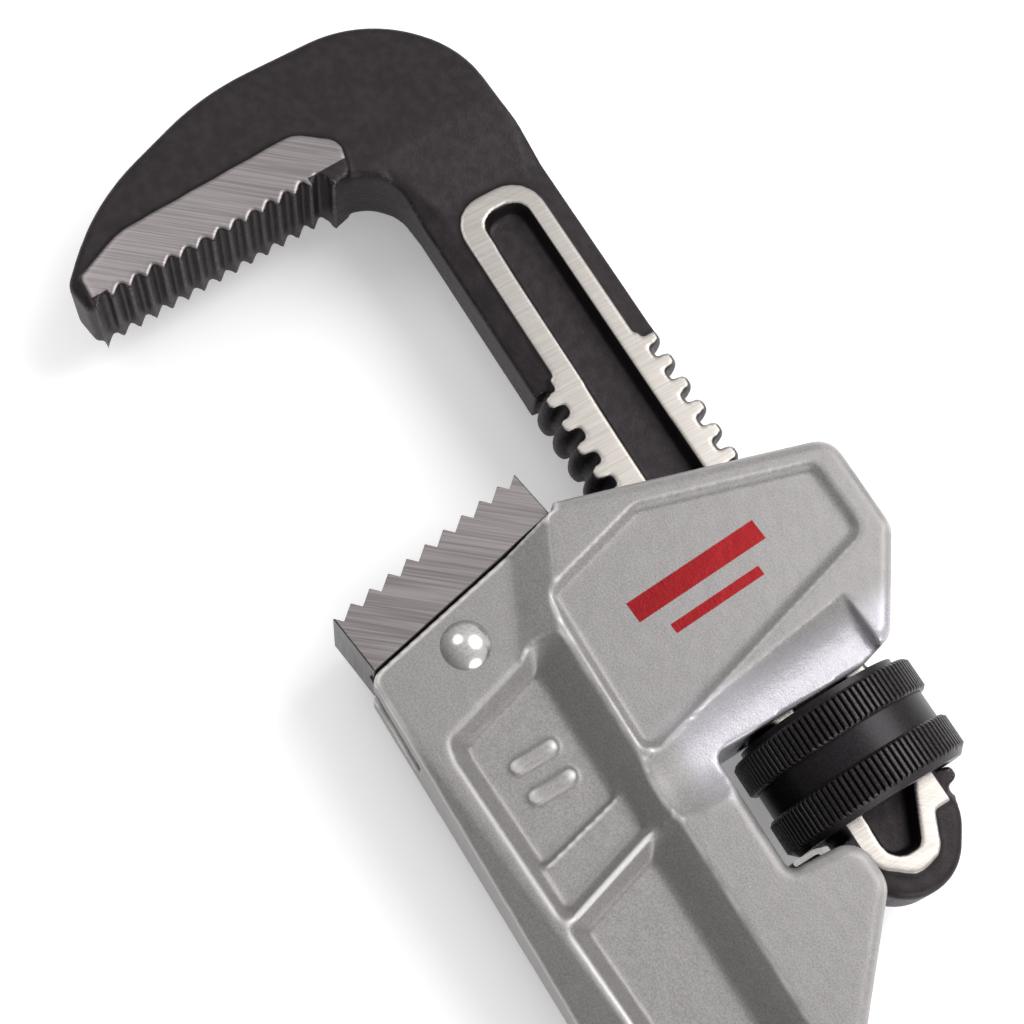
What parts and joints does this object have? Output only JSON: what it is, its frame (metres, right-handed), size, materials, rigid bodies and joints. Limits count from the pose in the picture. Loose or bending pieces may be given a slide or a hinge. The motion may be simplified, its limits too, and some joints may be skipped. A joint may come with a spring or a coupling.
{
  "type": "pipe wrench",
  "caption": "Straight adjustable pipe wrench: cast aluminium I-beam handle, toothed hook jaw on a threaded shank, toothed heel jaw and a knurled adjusting nut.",
  "frame": {"origin": "centre of the hang hole, halfway through the handle's thickness", "axes": "+X up the handle towards the hook jaw, +Y towards the open side of the jaws, +Z across the thickness"},
  "size_m": [0.3, 0.086, 0.0304],
  "materials": {
    "handle_casting": "fine speckled grey coating over cast aluminium",
    "forged_jaw": "black forged steel with ground faces",
    "ground_jaw": "ground steel",
    "rivet": "bright domed steel",
    "black_nut": "black oxide, knurled",
    "spring_steel": "bright spring steel"
  },
  "bodies": {
    "handle": {"handle": "handle_casting", "heel_jaw": "ground_jaw", "heel_jaw_pin": "rivet", "coil_spring": "spring_steel"},
    "spring_plate": {"flat_spring": "spring_steel", "spring_rivet": "rivet"},
    "adjusting_nut": {"adjusting_nut": "black_nut"},
    "hook_jaw": {"hook_jaw": "forged_jaw"}
  },
  "joints": [
    {"name": "jaw_rock", "type": "hinge", "parent": "handle", "child": "spring_plate", "pos_m": [0.147, -0.04, 0], "axis": [0, 0, 1], "range_deg": [-2.5, 0], "stiffness_Nm_per_rad": 1.28, "springref_deg": 14.32, "deforming": ["coil_spring"]},
    {"name": "nut_spin", "type": "hinge", "parent": "spring_plate", "child": "adjusting_nut", "pos_m": [0.147, -0.04, 0], "axis": [-1, 0, 0], "range_deg": [-4500, 396]},
    {"name": "hook_slide", "type": "slide", "parent": "spring_plate", "child": "hook_jaw", "axis": [1, 0, 0], "range_m": [-0.055, 0.00484]}
  ],
  "couplings": [
    {"joint": "nut_spin", "follows": "hook_slide", "rad_per_m": 1428}
  ]
}
